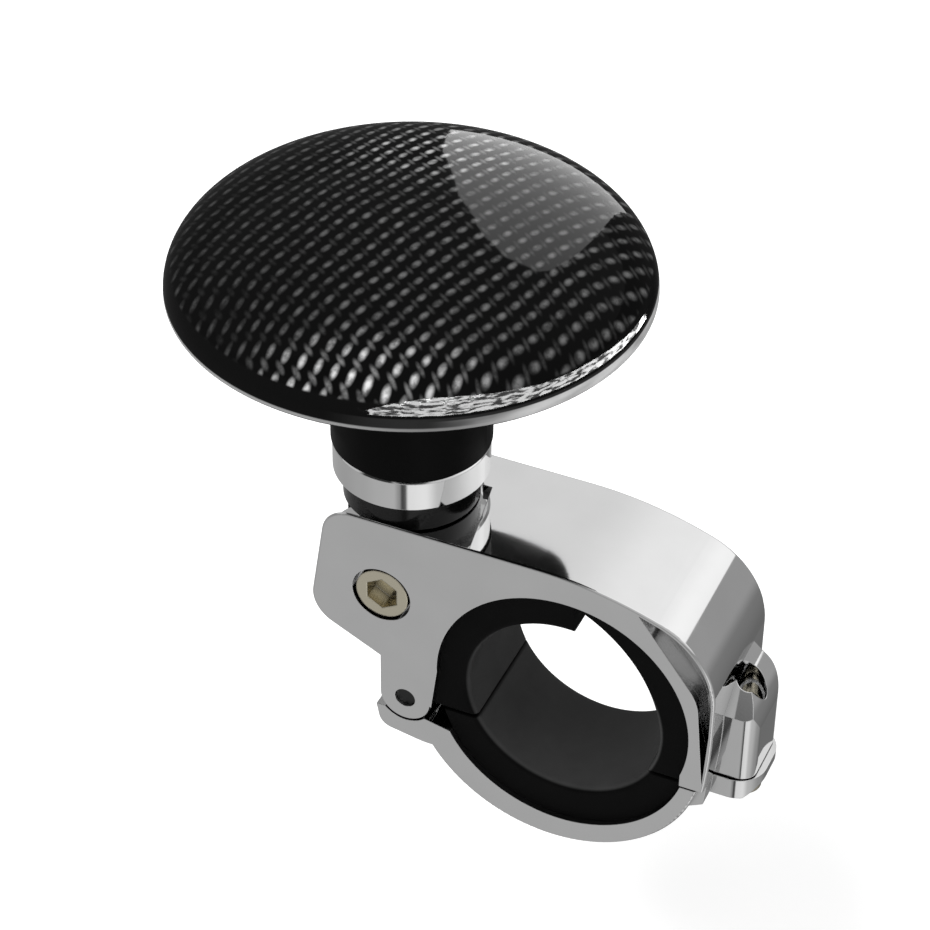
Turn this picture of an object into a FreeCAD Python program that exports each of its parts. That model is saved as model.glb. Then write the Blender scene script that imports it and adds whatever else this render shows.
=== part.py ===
import FreeCAD, Part
import math
import os

import Sketcher
from FreeCAD import Placement, Rotation, Vector

# Steering wheel spinner knob.
# The origin is the centre of the clamp's bore. +Y runs along the bore, +Z up along the knob's axis,
# and the knob stands on the -X side. Millimetres.

doc = FreeCAD.newDocument("spinner_knob")
sheet = doc.addObject("Spreadsheet::Sheet", "Sizes")

DIMENSIONS = [
    # Clamp jaws, seen from the front
    ("jaw_width", 20.0, "width of both jaws along the rim"),
    ("bore_radius", 14.1, "inside of the rubber liner"),
    ("liner_thickness", 4.3, "rubber between the bore and the metal seat"),
    ("seat_split", 1.3, "each jaw's seat centre above or below the bore centre"),
    ("side_cut", 0.9, "straight inner side on the screw side, inside the seat radius"),
    ("parting_drop", 6.3, "underside of the upper jaw below the bore centre"),
    ("parting_gap", 0.3, "gap between the jaws"),
    ("liner_inset", 1.0, "liner's faces behind the jaws' faces"),
    ("liner_round", 1.0, "round of the liner's bore edges"),
    ("liner_skin", 0.9, "thin end of the upper liner at the top"),
    ("plate_wall", 4.5, "metal between the seat and the top plate"),
    ("crown_run", 17.6, "length over which the top plate falls"),
    ("crown_radius", 50.0, "long curve at the start of the fall"),
    ("shoulder_fall", 6.1, "fall of the top plate at the shoulder's virtual corner"),
    ("shoulder_radius", 12.7, "round of the shoulder"),
    ("flank_wall", 3.2, "metal between the seat and the outer side"),
    ("flank_drop", 14.1, "straight flank below the shoulder's virtual corner"),
    ("toe_set", 0.7, "how far the outer side turns in at the parting"),
    ("cheek_top", 8.3, "cheek's upper corner beyond the pivot"),
    ("cheek_low", 11.0, "cheek's lower corner beyond the pivot"),
    ("cheek_fall", 6.1, "cheek's lower corner below the pivot"),
    ("cheek_top_radius", 4.5, "round of the cheek's upper corner"),
    ("cheek_low_radius", 5.0, "round of the cheek's lower corner"),
    ("armpit_rise", 6.4, "inner corner between cheek and ear above the pin"),
    ("edge_round", 0.35, "round of the jaws' face edges"),
    # Hinge between the jaws
    ("pin_wall", 4.8, "hinge pin outside the seat radius"),
    ("pin_rise", 0.3, "hinge pin above the parting"),
    ("pin_radius", 1.5, "hinge pin"),
    ("pin_inset", 0.5, "pin end below the face"),
    ("ear_radius", 3.7, "round end of the hinge ears and the knuckle"),
    ("ear_seat_height", 0.6, "ear's inner side where it meets the seat"),
    ("knuckle_share", 0.5, "knuckle of the lower jaw, share of the jaw width"),
    ("joint_gap", 0.4, "radial gap round the ears and the knuckle"),
    ("side_gap", 0.3, "gap between parts side by side"),
    ("running_gap", 0.08, "radial gap of a turning fit"),
    # Lower jaw
    ("lower_wall", 3.1, "metal of the lower jaw outside the seat radius"),
    ("lower_shift", 1.0, "its centre towards the hinge"),
    ("lower_sink", 1.9, "its centre below the bore centre"),
    ("hook_tip", 4.4, "tip of the hook beyond the pin"),
    ("hook_tip_fall", 2.7, "tip of the hook below the pin"),
    ("hook_heel", 3.7, "heel of the hook beyond the pin"),
    ("hook_heel_fall", 6.2, "heel of the hook below the pin"),
    ("hook_root", 4.0, "root of the hook short of the pin"),
    ("hook_root_fall", 7.5, "root of the hook below the pin"),
    ("hook_radius", 2.2, "round of the heel"),
    ("horn_fall", 3.7, "top of the lower jaw beside the ears, below the pin"),
    # Screw boss and lug
    ("boss_share", 0.54, "boss, share of the jaw width"),
    ("boss_stand", 4.6, "flat outer side of the boss outside the jaw"),
    ("boss_slant", 6.9, "fall of the boss's rounded top to its outer side"),
    ("boss_crest", 1.3, "sloping facet on top of the boss, outside the jaw"),
    ("boss_crest_fall", 1.15, "fall of that facet at its outer edge"),
    ("ramp_start", 1.0, "start of the front slope on the boss's top, behind the middle"),
    ("ramp_fall", 4.6, "fall of that slope to the boss's front"),
    ("mouth_radius", 2.15, "widened mouth of the screw hole"),
    ("mouth_bottom", 1.0, "bottom of that mouth above the bore centre"),
    ("boss_height", 15.2, "boss along the jaw"),
    ("boss_round", 2.2, "round of the boss's upright corners"),
    ("lug_share", 0.58, "lug, share of the jaw width"),
    ("lug_stand", 0.9, "tip of the lug beyond the boss"),
    ("lug_lip", 1.4, "height of the lug at its tip"),
    ("lug_height", 3.3, "height of the lug at the screw"),
    ("lug_round", 4.2, "round of the lug's corners"),
    ("lug_run", 2.0, "length of the lug's sloping underside"),
    ("lug_base_share", 0.85, "thick part behind the lug, share of the jaw width"),
    ("screw_stand", 1.8, "clamp screw outside the jaw's outer side"),
    ("screw_radius", 1.5, "clamp screw"),
    ("screw_length", 8.4, "clamp screw under its head"),
    ("screw_head_radius", 2.6, "clamp screw's head"),
    ("screw_head_height", 2.2, "clamp screw's head"),
    ("screw_socket", 2.5, "clamp screw's socket across flats"),
    ("spot_depth", 0.9, "flat seat sunk in the underside of the lug"),
    ("spot_radius", 3.0, "that seat"),
    ("lock_thickness", 0.6, "washer under the clamp screw's head"),
    # Hollow at the front shoulder
    ("hollow_depth", 3.6, "hollow beside the front band"),
    ("hollow_rim", 0.5, "skin left outside the hollow"),
    ("hollow_run", 11.3, "upper tip of the hollow inside the outer side"),
    ("hollow_knee", 2.4, "bend of the hollow's inner side inside the outer side"),
    ("hollow_knee_fall", 8.5, "that bend below the shoulder's virtual corner"),
    ("hollow_end", 1.3, "lower tip of the hollow above the parting"),
    # Folding pivot
    ("pivot_shift", 3.5, "pivot and knob axis beyond the hinge pin"),
    ("pivot_depth", 12.5, "pivot below the top plate"),
    ("pivot_radius", 2.5, "pivot screw"),
    ("pivot_head_radius", 3.85, "pivot screw's head"),
    ("cheek_floor", 1.5, "metal under the pivot screw's head and its nut"),
    ("pivot_socket", 4.4, "pivot screw's socket across flats"),
    ("socket_share", 0.65, "depth of a hexagon socket, share of the head"),
    ("pivot_sink", 0.2, "head and nut below the cheeks' faces"),
    ("pivot_ring_gap", 0.5, "gap round the pivot screw's head"),
    ("nut_flats", 8.0, "pivot nut across flats"),
    ("nut_gap", 0.15, "gap on each flat of the nut"),
    ("fold_washer_radius", 6.0, "friction washers"),
    ("fold_washer_thickness", 0.5, "friction washers"),
    ("fold_gap", 0.05, "gap on each side of a friction washer"),
    # Post
    ("tongue_thickness", 7.4, "tongue of the post"),
    ("tongue_radius", 7.9, "half width and round end of the tongue"),
    ("collar_gap", 0.3, "gap between the collar and the thin lips"),
    ("collar_sink", 0.9, "underside of the collar below the top plate"),
    ("lip_thickness", 0.35, "thin lip left at the cheeks' faces"),
    ("step_front", 12.8, "step in the top plate at the front face, from the pivot"),
    ("step_back", 10.4, "step in the top plate at its back corner, from the pivot"),
    ("step_back_depth", 3.3, "back corner of the step from the middle"),
    ("ring_lip", 1.35, "chrome ring outside the collar"),
    ("collar_height", 4.25, "collar of the post"),
    ("ring_height", 4.95, "chrome ring"),
    ("post_step", 2.0, "post inside the ring outside the spindle"),
    # Bearing and spindle
    ("race_height", 5.5, "bearing from its bore to its outside"),
    ("neck_wall", 1.4, "wall of the knob's neck round the bearing"),
    ("bearing_width", 6.0, "bearing"),
    ("ball_radius", 1.5, "bearing balls"),
    ("ball_count", 8, "bearing balls"),
    ("race_gap", 0.2, "clearance of a ball in its groove"),
    ("cage_thickness", 0.8, "ball cage"),
    ("tap_radius", 1.55, "spindle screw"),
    ("tap_depth", 9.0, "spindle screw in the post"),
    ("cap_radius", 3.2, "spindle screw's head"),
    ("cap_height", 2.4, "spindle screw's head"),
    ("cap_socket", 2.5, "spindle screw's socket across flats"),
    ("keeper_step", 1.4, "washer on the inner race outside the spindle"),
    ("keeper_thickness", 0.8, "washer on the inner race"),
    ("snap_thickness", 1.0, "retaining ring"),
    ("snap_depth", 0.7, "groove of the retaining ring"),
    # Knob
    ("neck_lap", 0.2, "neck of the knob outside the chrome ring"),
    ("neck_gap", 0.3, "gap between the ring and the neck"),
    ("neck_lip", 1.2, "lip under the bearing"),
    ("knob_radius", 31.85, "knob at its widest"),
    ("neck_height", 15.3, "neck of the knob"),
    ("dome_rise", 11.9, "dome above the widest plane"),
    ("belly_depth", 9.4, "underside below the widest plane"),
    ("shell_wall", 2.4, "wall of both shells"),
    ("curve_fullness", 0.61, "how full the dome is drawn, 0.55 is an ellipse"),
    ("rim_round", 0.8, "short upright edge of the base under the widest plane"),
    ("underside_level", 0.2, "level part of the underside next to the neck, share"),
    ("neck_flat", 1.8, "flat ring round the neck"),
    ("cavity_inset", 5.2, "hollow of the knob inside its widest radius"),
    ("spigot_height", 1.2, "locating rim of the dome inside the base"),
    ("spigot_wall", 1.4, "that rim"),
    ("seam_gap", 0.1, "gap at the locating rim"),
]

for row, (alias, value, note) in enumerate(DIMENSIONS, start=1):
    sheet.set("A%d" % row, note)
    sheet.set("B%d" % row, str(value))
    sheet.setAlias("B%d" % row, alias)
doc.recompute()


class Size:
    """A length: its value now, and the expression that ties it to the sheet."""

    def __init__(self, value, text):
        self.value = value
        self.text = text

    def __add__(self, other):
        other = as_size(other)
        return Size(self.value + other.value, "(%s + %s)" % (self.text, other.text))

    def __sub__(self, other):
        other = as_size(other)
        return Size(self.value - other.value, "(%s - %s)" % (self.text, other.text))

    def __mul__(self, other):
        other = as_size(other)
        return Size(self.value * other.value, "(%s * %s)" % (self.text, other.text))

    def __truediv__(self, other):
        other = as_size(other)
        return Size(self.value / other.value, "(%s / %s)" % (self.text, other.text))

    def __neg__(self):
        return Size(-self.value, "(0 - %s)" % self.text)

    def __radd__(self, other):
        return as_size(other) + self

    def __rmul__(self, other):
        return as_size(other) * self


def as_size(number):
    """Let a plain number take part in a sum of sizes."""
    return number if isinstance(number, Size) else Size(float(number), repr(float(number)))


def root(size):
    """Square root of a size, or of a sum of squares."""
    return Size(math.sqrt(size.value), "sqrt(%s)" % size.text)


D = {alias: Size(float(sheet.get(alias)), "Sizes." + alias) for alias, _, _ in DIMENSIONS}

# Sizes that follow from others. A reach is a distance from the bore centre along X.
D["seat_radius"] = D["bore_radius"] + D["liner_thickness"]
D["seat_side"] = D["seat_radius"] - D["side_cut"]
D["plate_height"] = D["seat_split"] + D["seat_radius"] + D["plate_wall"]
D["flank_reach"] = D["seat_radius"] + D["flank_wall"]
D["toe_reach"] = D["flank_reach"] - D["toe_set"]
D["crown_start"] = D["flank_reach"] - D["crown_run"]
D["shoulder_height"] = D["plate_height"] - D["shoulder_fall"]
D["flank_bend"] = D["shoulder_height"] - D["flank_drop"]
D["pin_reach"] = D["seat_radius"] + D["pin_wall"]
D["pin_drop"] = D["parting_drop"] - D["pin_rise"]
D["pivot_reach"] = D["pin_reach"] + D["pivot_shift"]
D["pivot_height"] = D["plate_height"] - D["pivot_depth"]
D["cheek_top_reach"] = D["pivot_reach"] + D["cheek_top"]
D["cheek_low_reach"] = D["pivot_reach"] + D["cheek_low"]
D["cheek_low_height"] = D["pivot_height"] - D["cheek_fall"]
D["armpit_height"] = D["armpit_rise"] - D["pin_drop"]
D["knuckle_width"] = D["jaw_width"] * D["knuckle_share"]
D["lower_radius"] = D["seat_radius"] + D["lower_wall"]
D["hook_tip_reach"] = D["pin_reach"] + D["hook_tip"]
D["hook_tip_drop"] = D["pin_drop"] + D["hook_tip_fall"]
D["hook_heel_reach"] = D["pin_reach"] + D["hook_heel"]
D["hook_heel_drop"] = D["pin_drop"] + D["hook_heel_fall"]
D["hook_root_reach"] = D["pin_reach"] - D["hook_root"]
D["hook_root_drop"] = D["pin_drop"] + D["hook_root_fall"]
D["horn_drop"] = D["pin_drop"] + D["horn_fall"]
D["boss_width"] = D["jaw_width"] * D["boss_share"]
D["boss_reach"] = D["flank_reach"] + D["boss_stand"]
D["boss_rise"] = D["boss_height"] - D["parting_drop"]
D["boss_shoulder"] = D["boss_rise"] - D["boss_slant"]
D["lug_width"] = D["jaw_width"] * D["lug_share"]
D["lug_reach"] = D["boss_reach"] + D["lug_stand"]
D["lug_base_width"] = D["jaw_width"] * D["lug_base_share"]
D["screw_reach"] = D["flank_reach"] + D["screw_stand"]
D["hollow_start"] = D["flank_reach"] - D["hollow_run"]
D["hollow_knee_reach"] = D["flank_reach"] - D["hollow_knee"]
D["hollow_knee_height"] = D["shoulder_height"] - D["hollow_knee_fall"]
D["hollow_end_drop"] = D["parting_drop"] - D["hollow_end"]
D["collar_radius"] = D["jaw_width"] / 2 - D["lip_thickness"] - D["collar_gap"]
D["collar_bottom"] = D["plate_height"] - D["collar_sink"]
D["ring_bottom"] = D["collar_bottom"] + D["collar_height"]
D["ring_radius"] = D["collar_radius"] + D["ring_lip"]
D["neck_radius"] = D["ring_radius"] + D["neck_lap"]
D["bearing_radius"] = D["neck_radius"] - D["neck_wall"]
D["spindle_radius"] = D["bearing_radius"] - D["race_height"]
D["post_radius"] = D["spindle_radius"] + D["post_step"]
D["keeper_radius"] = D["spindle_radius"] + D["keeper_step"]
D["step_front_reach"] = D["pivot_reach"] - D["step_front"]
D["step_back_reach"] = D["pivot_reach"] - D["step_back"]
D["knob_height"] = (D["ring_bottom"] + D["ring_height"] + D["neck_gap"] + D["neck_height"]
                    + D["belly_depth"])
ZERO = as_size(0)
FAR = D["cheek_low_reach"] + D["plate_height"]


def origin_plane(body, role):
    """One of a body's own origin planes."""
    return next(item for item in body.Origin.OriginFeatures if item.Role == role)


def new_body(label, along_x=None):
    """A sub-part, standing at the origin or on the knob's axis."""
    body = doc.addObject("PartDesign::Body", label)
    body.Label = label
    if along_x is not None:
        body.Placement = Placement(Vector(along_x.value, 0, 0), Rotation())
        body.setExpression("Placement.Base.x", along_x.text)
    return body


def new_sketch(body, role="XZ_Plane", lift=None):
    """A sketch on one of the body's origin planes, lifted along the plane's normal."""
    sketch = body.newObject("Sketcher::SketchObject", "Sketch")
    sketch.AttachmentSupport = [(origin_plane(body, role), "")]
    sketch.MapMode = "FlatFace"
    if lift is not None:
        sketch.AttachmentOffset = Placement(Vector(0, 0, lift.value), Rotation())
        sketch.setExpression("AttachmentOffset.Base.z", lift.text)
    return sketch


def bind(sketch, kind, *place, size):
    """Add one dimension to a sketch and tie it to the sheet."""
    index = sketch.addConstraint(Sketcher.Constraint(kind, *place, size.value))
    sketch.setExpression("Constraints[%d]" % index, size.text)


def fix_point(sketch, item, end, x, y):
    """Hold a point of a sketch at a place measured from the sketch's origin."""
    bind(sketch, "DistanceX", -1, 1, item, end, size=x)
    bind(sketch, "DistanceY", -1, 1, item, end, size=y)


def draw_polygon(sketch, corners):
    """Closed outline of straight lines."""
    first = sketch.GeometryCount
    count = len(corners)
    for number, (x, y) in enumerate(corners):
        next_x, next_y = corners[(number + 1) % count]
        start = Vector(x.value, y.value, 0)
        end = Vector(next_x.value, next_y.value, 0)
        sketch.addGeometry(Part.LineSegment(start, end))
    for number in range(count):
        following = first + (number + 1) % count
        sketch.addConstraint(Sketcher.Constraint("Coincident", first + number, 2, following, 1))
    for number, (x, y) in enumerate(corners):
        fix_point(sketch, first + number, 1, x, y)


def draw_circle(sketch, x, y, radius):
    """Circle held at its centre."""
    item = sketch.addGeometry(Part.Circle(Vector(x.value, y.value, 0), Vector(0, 0, 1), radius.value))
    fix_point(sketch, item, 3, x, y)
    bind(sketch, "Radius", item, size=radius)


def draw_hexagon(sketch, x, y, flats):
    """Hexagon of a given size across flats, with two corners up and down."""
    corner = flats / root(as_size(3))
    half = flats / 2
    corners = [(x, y + corner), (x + half, y + corner / 2), (x + half, y - corner / 2),
               (x, y - corner), (x - half, y - corner / 2), (x - half, y + corner / 2)]
    draw_polygon(sketch, corners)


def draw_path(sketch, steps):
    """Closed outline. A step is a corner. With a third entry, the stretch that ends there is an arc
    through that point. With a third and a fourth, it is a curve drawn towards those two."""
    count = len(steps)
    items = []
    poles = []
    for number in range(count):
        start = flat_point(steps[number - 1])
        end = flat_point(steps[number])
        through = [flat_point(place) for place in steps[number][2:]]
        if not through:
            items.append(sketch.addGeometry(Part.LineSegment(start, end)))
        elif len(through) == 1:
            items.append(sketch.addGeometry(Part.Arc(start, through[0], end)))
        else:
            curve = Part.BSplineCurve()
            curve.buildFromPolesMultsKnots([start] + through + [end], [4, 4], [0, 1], False, 3)
            items.append(sketch.addGeometry(curve))
            poles.append((sketch.GeometryCount + 1, steps[number]))
            sketch.exposeInternalGeometry(items[-1])
    for number in range(count):
        before = items[number]
        after = items[(number + 1) % count]
        ends = [joint_end(sketch, before, steps[number]), joint_end(sketch, after, steps[number])]
        sketch.addConstraint(Sketcher.Constraint("Coincident", before, ends[0], after, ends[1]))
        fix_point(sketch, before, ends[0], steps[number][0], steps[number][1])
        if len(steps[number]) == 3:
            middle = steps[number][2]
            point = sketch.addGeometry(Part.Point(flat_point(middle)), True)
            fix_point(sketch, point, 1, middle[0], middle[1])
            sketch.addConstraint(Sketcher.Constraint("PointOnObject", point, 1, before))
    for first, step in poles:
        fix_point(sketch, first, 3, step[2][0], step[2][1])
        fix_point(sketch, first + 1, 3, step[3][0], step[3][1])


def flat_point(place):
    """A sketch point for a pair of sizes."""
    return Vector(place[0].value, place[1].value, 0)


def joint_end(sketch, item, step):
    """Which end of a sketch item lies at a step's corner: 1 is its start, 2 its end."""
    corner = flat_point(step)
    near = [(sketch.getPoint(item, end) - corner).Length for end in (1, 2)]
    return 1 if near[0] < near[1] else 2


def extrude(body, sketch, kind, length, symmetric=False, reverse=False, through=False):
    """Pad or pocket a sketch, and see that it changed the solid."""
    before = body.Shape.Volume if body.Tip else 0.0
    feature = body.newObject("PartDesign::" + kind, kind)
    feature.Profile = sketch
    if symmetric:
        feature.SideType = "Symmetric"
    feature.Reversed = reverse
    if through:
        feature.Type = "ThroughAll"
    else:
        feature.Length = length.value
        feature.setExpression("Length", length.text)
    doc.recompute()
    change = feature.Shape.Volume - before
    wanted = change > 0 if kind == "Pad" else change < 0
    if not wanted:
        raise RuntimeError("%s in %s changed nothing" % (kind, body.Label))
    return feature


def pad(body, sketch, length, **options):
    return extrude(body, sketch, "Pad", length, **options)


def pocket(body, sketch, length=None, **options):
    return extrude(body, sketch, "Pocket", length, through=length is None, **options)


def turn(body, sketch, kind="Revolution"):
    """Turn a sketch on the XZ plane about the body's own upright axis."""
    feature = body.newObject("PartDesign::" + kind, kind)
    feature.Profile = sketch
    feature.ReferenceAxis = (sketch, ["V_Axis"])
    feature.Angle = 360
    doc.recompute()
    return feature


def turned_body(label, steps, along_x):
    """A sub-part that is turned as one piece: its half section, radius first, then height."""
    body = new_body(label, along_x)
    sketch = new_sketch(body)
    draw_path(sketch, steps)
    turn(body, sketch)
    return body


def round_edges(body, radius, chosen, kind="Fillet"):
    """Round, or bevel, the edges of the body's last feature that a test chooses."""
    base = body.Tip
    names = []
    for number, edge in enumerate(base.Shape.Edges, start=1):
        if chosen(edge):
            names.append("Edge%d" % number)
    if not names:
        raise RuntimeError("no edge to round in " + body.Label)
    feature = body.newObject("PartDesign::" + kind, kind)
    feature.Base = (base, names)
    edge_size = "Radius" if kind == "Fillet" else "Size"
    setattr(feature, edge_size, radius.value)
    feature.setExpression(edge_size, radius.text)
    doc.recompute()
    if "Invalid" in feature.State:
        raise RuntimeError("%s of %s at %s failed in %s" % (kind, radius.text, names, body.Label))
    return feature


def along_y_at(x, z):
    """Test for straight edges along Y at one place of the front view."""
    def test(edge):
        ends = [vertex.Point for vertex in edge.Vertexes]
        if len(ends) != 2:
            return False
        place = all(math.hypot(end.x - x.value, end.z - z.value) < 0.05 for end in ends)
        return place and abs(ends[0].y - ends[1].y) > 1
    return test


def upright_at(x, y):
    """Test for upright edges at one place of the plan, on both sides of the middle."""
    def test(edge):
        ends = [vertex.Point for vertex in edge.Vertexes]
        if len(ends) != 2:
            return False
        place = all(math.hypot(end.x - x.value, abs(end.y) - y.value) < 0.05 for end in ends)
        return place and abs(ends[0].z - ends[1].z) > 0.5
    return test


def on_face_plane(half_width, extra=None):
    """Test for edges that lie in either face of a jaw."""
    def test(edge):
        box = edge.BoundBox
        flat = box.YLength < 0.001 and abs(abs(box.YMin) - half_width.value) < 0.001
        return flat and (extra is None or extra(edge))
    return test


# Places that several pieces share
half_width = D["jaw_width"] / 2
knob_x = -D["pivot_reach"]
pin_x = -D["pin_reach"]
pin_z = -D["pin_drop"]
upper_bottom = -D["parting_drop"]
lower_top = upper_bottom - D["parting_gap"]
slot_half = D["tongue_thickness"] / 2 + D["fold_washer_thickness"] + 2 * D["fold_gap"]
slot_radius = D["tongue_radius"] + D["side_gap"]
floor_height = D["collar_bottom"] - D["side_gap"]
recess_half = half_width - D["lip_thickness"]
head_height = half_width - slot_half - D["pivot_sink"] - D["cheek_floor"]
screw_hole_radius = D["screw_radius"] + D["side_gap"]
seat_square = D["seat_radius"] * D["seat_radius"]
ear_corner_rise = D["ear_seat_height"] - D["seat_split"]
ear_corner_x = -root(seat_square - ear_corner_rise * ear_corner_rise)
side_corner_drop = root(seat_square - D["seat_side"] * D["seat_side"])
ear_left = pin_x - D["ear_radius"]
ear_right = pin_x + D["ear_radius"]
leg_side = ear_right + D["side_gap"]


# Upper jaw: the outline, its ears, cheeks and boss
def build_upper_jaw():
    body = new_body("upper_jaw")
    outline = new_sketch(body)
    toe_bulge_x = D["flank_reach"] - (D["flank_reach"] - D["toe_reach"]) / 4
    toe_bulge_z = (D["flank_bend"] + upper_bottom) / 2
    draw_path(outline, [
        (-D["cheek_top_reach"], D["plate_height"]),
        (D["crown_start"], D["plate_height"]),
        (D["flank_reach"], D["shoulder_height"]),
        (D["flank_reach"], D["flank_bend"]),
        (D["toe_reach"], upper_bottom, (toe_bulge_x, toe_bulge_z)),
        (ear_right, upper_bottom),
        (ear_right, pin_z),
        (ear_left, pin_z),
        (ear_left, D["armpit_height"]),
        (-D["cheek_low_reach"], D["cheek_low_height"]),
    ])
    pad(body, outline, D["jaw_width"], symmetric=True)
    rounds = [
        ("cheek_top_radius", -D["cheek_top_reach"], D["plate_height"]),
        ("cheek_low_radius", -D["cheek_low_reach"], D["cheek_low_height"]),
        ("crown_radius", D["crown_start"], D["plate_height"]),
        ("shoulder_radius", D["flank_reach"], D["shoulder_height"]),
    ]
    for name, x, z in rounds:
        round_edges(body, D[name], along_y_at(x, z))

    ear = new_sketch(body)
    draw_circle(ear, pin_x, pin_z, D["ear_radius"])
    pad(body, ear, D["jaw_width"], symmetric=True)

    seat = new_sketch(body)
    draw_circle(seat, ZERO, D["seat_split"], D["seat_radius"])
    pocket(body, seat, D["jaw_width"], symmetric=True)

    below = new_sketch(body)
    draw_polygon(below, [
        (ear_corner_x, D["ear_seat_height"]),
        (D["seat_side"], D["seat_split"] - side_corner_drop),
        (D["seat_side"], -FAR),
        (leg_side, -FAR),
        (leg_side, pin_z),
    ])
    pocket(body, below, D["jaw_width"], symmetric=True)

    round_edges(body, D["edge_round"], on_face_plane(half_width, outer_edge))

    boss = new_sketch(body)
    boss_root = D["flank_reach"] - D["flank_wall"] / 2
    draw_polygon(boss, [
        (boss_root, upper_bottom),
        (D["boss_reach"], upper_bottom),
        (D["boss_reach"], D["boss_rise"]),
        (boss_root, D["boss_rise"]),
    ])
    pad(body, boss, D["boss_width"], symmetric=True)
    round_edges(body, D["boss_round"], upright_at(D["boss_reach"], D["boss_width"] / 2))
    shape_boss_top(body)

    screw_hole = new_sketch(body, "XY_Plane", upper_bottom)
    draw_circle(screw_hole, D["screw_reach"], ZERO, screw_hole_radius)
    pocket(body, screw_hole, D["boss_rise"] - upper_bottom, reverse=True)
    mouth = new_sketch(body, "XY_Plane", D["mouth_bottom"])
    draw_circle(mouth, D["screw_reach"], ZERO, D["mouth_radius"])
    pocket(body, mouth, D["boss_rise"] - D["mouth_bottom"], reverse=True)

    cut_front_hollow(body)
    cut_post_recess(body)
    cut_post_slot(body)
    cut_knuckle_slot(body)
    cut_pivot_holes(body)
    return body


def shape_boss_top(body):
    """Facet and round on the boss's top towards its outer side, and a slope towards its front."""
    crest_x = D["flank_reach"] + D["boss_crest"]
    crest_z = D["boss_rise"] - D["boss_crest_fall"]
    bulge_x = crest_x + (D["boss_reach"] - crest_x) * 0.7
    bulge_z = crest_z - (crest_z - D["boss_shoulder"]) * 0.44
    top = new_sketch(body)
    draw_path(top, [
        (D["flank_reach"], D["boss_rise"]),
        (crest_x, crest_z),
        (D["boss_reach"], D["boss_shoulder"], (bulge_x, bulge_z)),
        (D["lug_reach"], D["boss_shoulder"]),
        (D["lug_reach"], D["plate_height"]),
        (D["flank_reach"], D["plate_height"]),
    ])
    pocket(body, top, D["boss_width"], symmetric=True)

    front = D["boss_width"] / 2
    steepness = D["ramp_fall"] / (D["ramp_start"] + front)
    ramp = new_sketch(body, "YZ_Plane", D["flank_reach"])
    draw_polygon(ramp, [
        (D["ramp_start"], D["boss_rise"]),
        (-D["boss_width"], D["boss_rise"] - (D["ramp_start"] + D["boss_width"]) * steepness),
        (-D["boss_width"], D["plate_height"]),
        (D["ramp_start"], D["plate_height"]),
    ])
    pocket(body, ramp, D["boss_stand"] * 2, reverse=True)


def outer_edge(edge):
    """Edges of the jaw's outside, at least a little outside the metal's seat."""
    middle = edge.valueAt((edge.FirstParameter + edge.LastParameter) / 2)
    from_seat = math.hypot(middle.x, middle.z - D["seat_split"].value)
    beyond_ear = middle.z > D["pin_drop"].value
    return from_seat > D["seat_radius"].value + 1 and beyond_ear


def cut_front_hollow(body):
    """Narrow hollow between the band and the skin of the shoulder, on both faces."""
    inset = D["hollow_rim"]
    run = D["flank_reach"] - D["crown_start"]
    fall = D["plate_height"] - D["shoulder_height"]
    slope = root(run * run + fall * fall)
    corner_x = D["flank_reach"] - inset
    half_turn = (slope - fall) / run
    corner_z = D["shoulder_height"] - inset * half_turn
    start_z = corner_z + (corner_x - D["hollow_start"]) * fall / run
    end_x = D["toe_reach"] - inset * 0.5
    radius = D["shoulder_radius"] - inset
    tangent = radius * half_turn
    outward = root((fall + slope) * (fall + slope) + run * run)
    bulge_x = corner_x - radius + radius * (fall + slope) / outward
    bulge_z = corner_z - tangent + radius * run / outward
    for front in (True, False):
        face = half_width if front else -half_width
        hollow = new_sketch(body, "XZ_Plane", face)
        draw_path(hollow, [
            (D["hollow_start"], start_z),
            (corner_x - tangent * run / slope, corner_z + tangent * fall / slope),
            (corner_x, corner_z - tangent, (bulge_x, bulge_z)),
            (corner_x, D["flank_bend"]),
            (end_x, -D["hollow_end_drop"]),
            (D["hollow_knee_reach"], D["hollow_knee_height"]),
        ])
        pocket(body, hollow, D["hollow_depth"], reverse=not front)
    knee = along_y_at(D["hollow_knee_reach"], D["hollow_knee_height"])
    round_edges(body, D["flank_drop"] / 2, knee)


def cut_post_recess(body):
    """Shallow recess in the top plate for the post's collar, with a slanted step on the right."""
    top = new_sketch(body, "XY_Plane", floor_height)
    collar_x = root(recess_half * recess_half - D["step_back_depth"] * D["step_back_depth"])
    draw_path(top, [
        (-FAR, -recess_half),
        (-D["step_front_reach"], -recess_half),
        (-D["step_back_reach"], D["step_back_depth"]),
        (knob_x + collar_x, D["step_back_depth"]),
        (knob_x, recess_half, (knob_x + recess_half * 0.7071, recess_half * 0.7071)),
        (-FAR, recess_half),
    ])
    pocket(body, top, FAR, reverse=True)

    swing = new_sketch(body)
    reach = floor_height - D["pivot_height"]
    slant = reach * 0.7071
    draw_path(swing, [
        (knob_x, floor_height, (knob_x - slant, D["pivot_height"] + slant)),
        (knob_x, FAR),
        (-FAR, FAR),
        (-FAR, D["pivot_height"]),
        (knob_x - reach, D["pivot_height"]),
    ])
    pocket(body, swing, 2 * recess_half, symmetric=True)


def cut_post_slot(body):
    """Slot between the cheeks for the post's tongue, open above and to the left."""
    slot = new_sketch(body)
    draw_circle(slot, knob_x, D["pivot_height"], slot_radius)
    pocket(body, slot, 2 * slot_half, symmetric=True)
    way = new_sketch(body)
    draw_polygon(way, [
        (knob_x + slot_radius, FAR),
        (knob_x + slot_radius, D["pivot_height"]),
        (knob_x, D["pivot_height"]),
        (knob_x, D["pivot_height"] - slot_radius),
        (-FAR, D["pivot_height"] - slot_radius),
        (-FAR, FAR),
    ])
    pocket(body, way, 2 * slot_half, symmetric=True)


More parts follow.
